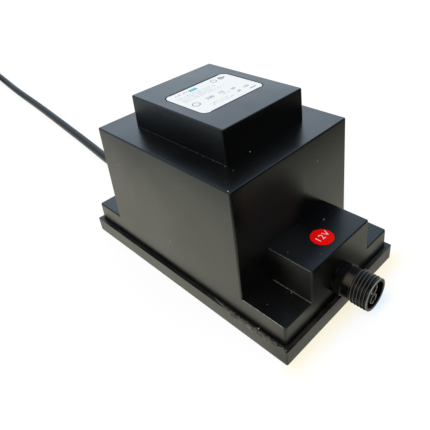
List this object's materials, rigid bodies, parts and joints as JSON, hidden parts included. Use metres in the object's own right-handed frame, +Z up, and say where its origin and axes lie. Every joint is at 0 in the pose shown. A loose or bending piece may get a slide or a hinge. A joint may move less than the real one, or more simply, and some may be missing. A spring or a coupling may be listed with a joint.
{
  "type": "encapsulated safety transformer",
  "caption": "Encapsulated low-voltage garden transformer: stepped moulded housing on a shallow tray, screw connector at one end, mains cord with plug at the other.",
  "frame": {"origin": "centre of the tray's flat underside", "axes": "+X along the length, towards the output connector; the mains cord leaves at -X; +Z up, +Y across"},
  "size_m": [0.6367, 0.1318, 0.101],
  "materials": {
    "tray_plastic": "fine grained moulded plastic",
    "housing_plastic": "fine grained moulded plastic",
    "resin": "cured casting resin",
    "core_steel": "rolled electrical steel",
    "bobbin_plastic": "glass-filled nylon",
    "copper": "enamelled wire",
    "tape": "polyester tape",
    "brass": "satin",
    "tin": "tinned",
    "lead_sheath": "soft insulation",
    "cord_sheath": "matte rubber",
    "connector_plastic": "moulded nylon",
    "seal_rubber": "smooth",
    "insert_plastic": "moulded insulator",
    "screw_steel": "zinc plated",
    "label_film": "satin film",
    "sticker_film": "satin film",
    "tie_plastic": "woven strap",
    "plug_rubber": "matte rubber",
    "pin_nickel": "nickel plated"
  },
  "bodies": {
    "root": {"base_tray": "tray_plastic", "housing_shell": "housing_plastic", "potting_resin": "resin", "joint_bead": "resin", "core_e_stack": "core_steel", "core_i_stack": "core_steel", "coil_bobbin": "bobbin_plastic", "primary_winding": "copper", "secondary_winding": "copper", "primary_tape": "tape", "secondary_tape": "tape", "thermal_fuse": "brass", "primary_tags": "tin", "secondary_tags": "tin", "primary_leads": "lead_sheath", "secondary_leads": "lead_sheath", "strain_relief": "cord_sheath", "inner_cord_end": "cord_sheath", "clamp_bar": "tray_plastic", "clamp_screws": "screw_steel", "connector_body": "connector_plastic", "connector_seal": "seal_rubber", "connector_locknut": "connector_plastic", "connector_insert": "insert_plastic", "contact_sockets": "brass", "rating_label": "label_film", "voltage_sticker": "sticker_film", "mains_cord": "cord_sheath", "cord_coil": "cord_sheath", "coil_tie": "tie_plastic", "plug_body": "plug_rubber", "plug_pins": "pin_nickel"}
  },
  "joints": []
}
